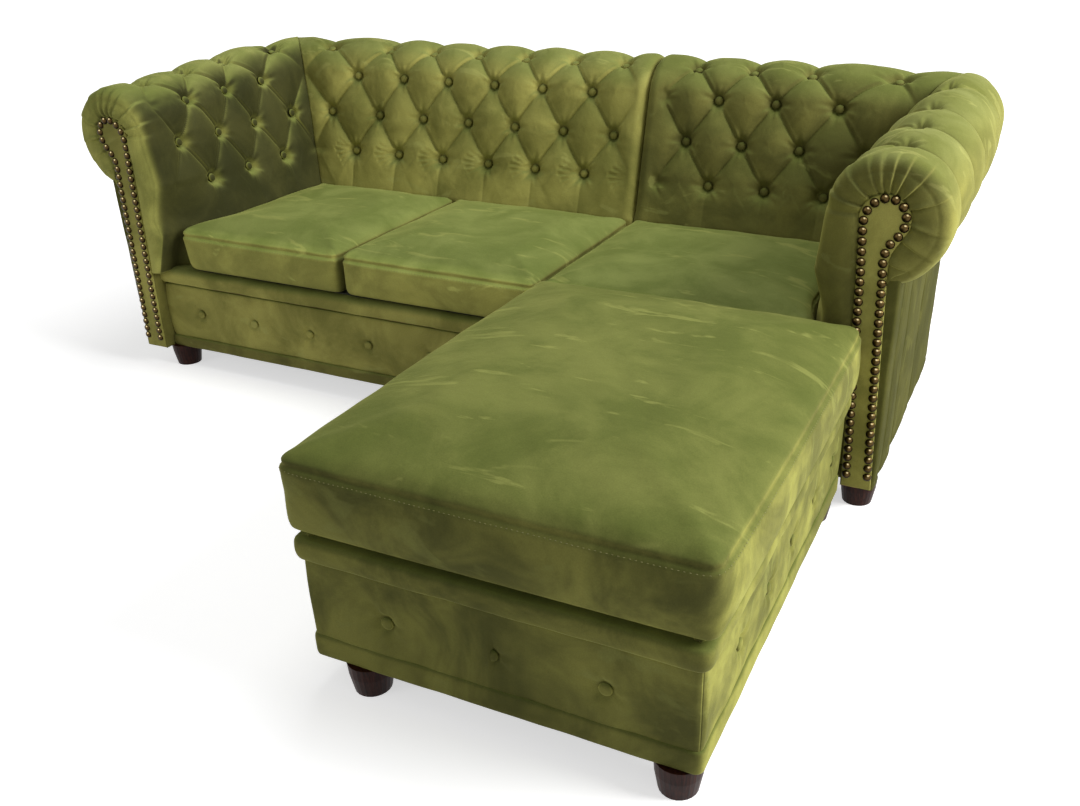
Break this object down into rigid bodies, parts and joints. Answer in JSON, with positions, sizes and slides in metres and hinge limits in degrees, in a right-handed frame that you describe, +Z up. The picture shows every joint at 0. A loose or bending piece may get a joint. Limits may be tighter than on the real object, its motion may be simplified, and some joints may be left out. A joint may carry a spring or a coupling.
{
  "type": "chesterfield corner sofa",
  "caption": "Velvet corner sofa with scroll arms, a deep buttoned back, loose seat cushions and a free-standing buttoned ottoman.",
  "frame": {"origin": "on the floor, in the middle of the whole group's outline", "axes": "+X to the sitter's left as seen from the front, along the back; +Y from the ottoman to the back; +Z up"},
  "size_m": [2.1508, 1.7661, 0.7704],
  "materials": {
    "velvet": "moss green velvet with a brushed nap",
    "dark_wood": "dark mahogany stain, satin",
    "timber": "raw sawn softwood",
    "steel": "zinc plated",
    "felt": "needled felt",
    "dust_cloth": "black non-woven cloth"
  },
  "bodies": {
    "sofa": {"left_unit_front_rail": "timber", "left_unit_rear_rail": "timber", "left_unit_cross_rails": "timber", "left_unit_deck": "felt", "left_unit_springs": "steel", "left_unit_dust_cover": "dust_cloth", "left_unit_feet": "dark_wood", "left_unit_bottom_band": "velvet", "left_unit_front_lip": "velvet", "left_unit_front_panel": "velvet", "left_unit_front_buttons": "velvet", "left_arm_frame": "timber", "left_arm_facing": "velvet", "left_arm_cover": "velvet", "left_arm_pad": "velvet", "left_arm_buttons": "velvet", "left_back_frame": "timber", "left_back_cover": "velvet", "left_back_pad": "velvet", "left_back_buttons": "velvet", "right_unit_front_rail": "timber", "right_unit_rear_rail": "timber", "right_unit_cross_rails": "timber", "right_unit_deck": "felt", "right_unit_springs": "steel", "right_unit_dust_cover": "dust_cloth", "right_unit_feet": "dark_wood", "right_unit_bottom_band": "velvet", "right_unit_front_lip": "velvet", "right_unit_front_panel": "velvet", "right_unit_front_buttons": "velvet", "right_arm_frame": "timber", "right_arm_facing": "velvet", "right_arm_cover": "velvet", "right_arm_pad": "velvet", "right_arm_buttons": "velvet", "right_back_frame": "timber", "right_back_cover": "velvet", "right_back_pad": "velvet", "right_back_buttons": "velvet", "unit_joining_bolts": "steel", "sofa_foot_studs": "steel"},
    "left_cushion": {"seat_cushion_left": "velvet"},
    "middle_cushion": {"seat_cushion_middle": "velvet"},
    "right_cushion": {"seat_cushion_right": "velvet"},
    "ottoman": {"ottoman_foot_studs": "steel", "ottoman_rails": "timber", "ottoman_top_board": "timber", "ottoman_deck": "felt", "ottoman_dust_cover": "dust_cloth", "ottoman_bottom_band": "velvet", "ottoman_lip": "velvet", "ottoman_feet": "dark_wood", "ottoman_buttons": "velvet", "ottoman_panel_front": "velvet", "ottoman_panel_rear": "velvet", "ottoman_panel_left": "velvet", "ottoman_panel_right": "velvet"},
    "ottoman_top": {"ottoman_cushion": "velvet"}
  },
  "joints": [
    {"name": "left_cushion_lift", "type": "slide", "parent": "sofa", "child": "left_cushion", "axis": [0, 0, 1], "range_m": [0, 0.25]},
    {"name": "middle_cushion_lift", "type": "slide", "parent": "sofa", "child": "middle_cushion", "axis": [0, 0, 1], "range_m": [0, 0.25]},
    {"name": "right_cushion_lift", "type": "slide", "parent": "sofa", "child": "right_cushion", "axis": [0, 0, 1], "range_m": [0, 0.25]},
    {"name": "ottoman_pull", "type": "slide", "parent": "sofa", "child": "ottoman", "axis": [0, -1, 0], "range_m": [0, 0.5]},
    {"name": "ottoman_cushion_lift", "type": "slide", "parent": "ottoman", "child": "ottoman_top", "axis": [0, 0, 1], "range_m": [0, 0.25]}
  ]
}
